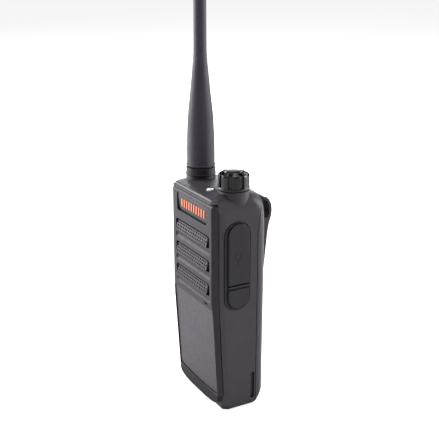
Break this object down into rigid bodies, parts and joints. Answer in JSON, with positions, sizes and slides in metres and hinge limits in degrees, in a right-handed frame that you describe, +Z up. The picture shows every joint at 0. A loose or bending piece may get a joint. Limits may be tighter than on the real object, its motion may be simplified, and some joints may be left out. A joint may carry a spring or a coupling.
{
  "type": "portable radio",
  "caption": "Handheld two-way radio with whip antenna, fluted volume knob, slotted speaker grilles, side push-to-talk key, rubber accessory cover and rear battery with belt clip.",
  "frame": {"origin": "centre of the flat base of the body", "axes": "+Z up along the body and antenna, -Y the front with speaker and microphone, +X the side with the accessory sockets"},
  "size_m": [0.0546, 0.0455, 0.285],
  "materials": {
    "housing_plastic": "fine matt spark texture, dark charcoal",
    "cover_plastic": "fine matt spark texture, dark charcoal",
    "panel_plastic": "leather grain, charcoal",
    "grille_plastic": "satin perforated moulding, charcoal",
    "plate_plastic": "satin grey plate",
    "mark_orange": "printed orange",
    "battery_plastic": "fine matt spark texture, dark charcoal",
    "rubber": "matt rubber",
    "seal_rubber": "matt black rubber",
    "antenna_rubber": "satin flexible rubber",
    "knob_plastic": "satin black",
    "key_rubber": "matt rubber",
    "clip_plastic": "satin black",
    "lens": "translucent white",
    "alloy": "die cast",
    "steel": "plated steel",
    "brass": "machined, plated",
    "gold": "gold plated contact",
    "pcb": "green solder mask",
    "chip": "black package",
    "paper_cone": "paper cone",
    "magnet": "plated magnet",
    "screen_fabric": "woven dust screen",
    "cell_wrap": "shrink wrap",
    "inner_plastic": "black moulding"
  },
  "bodies": {
    "radio_body": {"main_housing": "housing_plastic", "front_cover": "cover_plastic", "speaker_grille": "grille_plastic", "nameplate": "plate_plastic", "nameplate_mark": "mark_orange", "front_label_panel": "panel_plastic", "front_seal": "seal_rubber", "led_lens": "lens", "chassis": "alloy", "main_board": "pcb", "board_chips": "chip", "rf_shield": "steel", "speaker_frame": "steel", "speaker_cone": "paper_cone", "speaker_magnet": "magnet", "dust_screen": "screen_fabric", "microphone": "steel", "accessory_jacks": "inner_plastic", "jack_cover_base": "rubber", "antenna_socket": "brass", "volume_switch": "steel", "switch_nut": "brass", "side_key_frame": "housing_plastic", "side_key_board": "pcb", "key_switches": "steel", "chassis_screws": "steel", "contact_springs": "gold"},
    "volume_knob": {"volume_knob": "knob_plastic", "knob_shaft": "steel"},
    "antenna_ring": {"antenna_collar": "antenna_rubber"},
    "antenna": {"antenna_sheath": "antenna_rubber", "antenna_stud": "brass", "antenna_element": "steel"},
    "ptt_button": {"ptt_button": "key_rubber"},
    "side_key_upper": {"side_key_upper": "key_rubber"},
    "side_key_lower": {"side_key_lower": "key_rubber"},
    "jack_cover_flap": {"jack_cover_flap": "rubber"},
    "battery_latch": {"battery_latch": "inner_plastic"},
    "battery_pack": {"battery_rear_case": "battery_plastic", "battery_inner_case": "inner_plastic", "battery_cells": "cell_wrap", "battery_board": "pcb", "battery_terminals": "gold", "charge_contacts": "gold", "clip_bracket": "inner_plastic", "clip_screws": "steel", "clip_pin": "steel", "clip_spring": "steel"},
    "belt_clip": {"belt_clip": "clip_plastic"}
  },
  "joints": [
    {"name": "volume_turn", "type": "hinge", "parent": "radio_body", "child": "volume_knob", "pos_m": [0.0167, 0.0003, 0.128], "axis": [0, 0, -1], "range_deg": [0, 280]},
    {"name": "antenna_lift", "type": "slide", "parent": "radio_body", "child": "antenna_ring", "axis": [0, 0, 1], "range_m": [0, 0.0043]},
    {"name": "antenna_turn", "type": "hinge", "parent": "antenna_ring", "child": "antenna", "pos_m": [-0.0171, -0.0015, 0.128], "axis": [0, 0, 1], "range_deg": [0, 2160]},
    {"name": "ptt_press", "type": "slide", "parent": "radio_body", "child": "ptt_button", "axis": [1, 0, 0], "range_m": [0, 0.0013], "stiffness_N_per_m": 800},
    {"name": "upper_key_press", "type": "slide", "parent": "radio_body", "child": "side_key_upper", "axis": [1, 0, 0], "range_m": [0, 0.0007], "stiffness_N_per_m": 800},
    {"name": "lower_key_press", "type": "slide", "parent": "radio_body", "child": "side_key_lower", "axis": [1, 0, 0], "range_m": [0, 0.0007], "stiffness_N_per_m": 800},
    {"name": "jack_cover_hinge", "type": "hinge", "parent": "radio_body", "child": "jack_cover_flap", "pos_m": [0.02675, -0.00195, 0.076], "axis": [0, 1, 0], "range_deg": [0, 110]},
    {"name": "battery_swing", "type": "hinge", "parent": "radio_body", "child": "battery_pack", "pos_m": [0, 0.0166, 0.1202], "axis": [1, 0, 0], "range_deg": [0, 25]},
    {"name": "battery_latch_slide", "type": "slide", "parent": "radio_body", "child": "battery_latch", "axis": [0, -1, 0], "range_m": [0, 0.0016]},
    {"name": "belt_clip_hinge", "type": "hinge", "parent": "battery_pack", "child": "belt_clip", "pos_m": [0, 0.0206, 0.1015], "axis": [1, 0, 0], "range_deg": [0, 25]}
  ],
  "couplings": [
    {"joint": "antenna_lift", "follows": "antenna_turn", "m_per_rad": 0.0001123}
  ]
}
